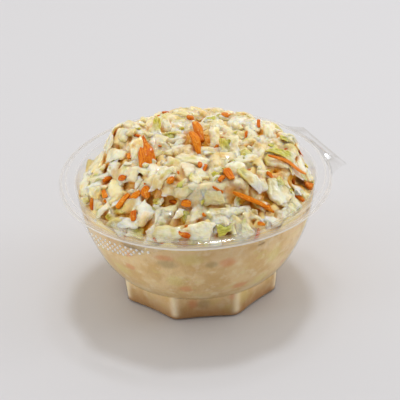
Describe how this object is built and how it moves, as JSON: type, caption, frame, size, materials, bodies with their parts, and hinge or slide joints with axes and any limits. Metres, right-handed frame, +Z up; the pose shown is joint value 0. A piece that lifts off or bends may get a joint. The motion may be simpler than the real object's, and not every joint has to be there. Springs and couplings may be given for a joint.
{
  "type": "coleslaw in a clear bowl",
  "caption": "Creamy coleslaw of cabbage, green leaf and carrot shreds heaped above the rim of a clear moulded bowl with a fluted foot, pull tab and grip skirt",
  "frame": {"origin": "middle of the foot's flat underside, on the surface the bowl stands on", "axes": "+Z up; +X towards the middle of the rim's pull tab; +Y completes the right-handed frame"},
  "size_m": [0.1435, 0.14, 0.0884],
  "materials": {
    "clear_plastic": "gloss",
    "coleslaw": "satin"
  },
  "bodies": {
    "root": {"bowl": "clear_plastic", "coleslaw": "coleslaw"}
  },
  "joints": []
}
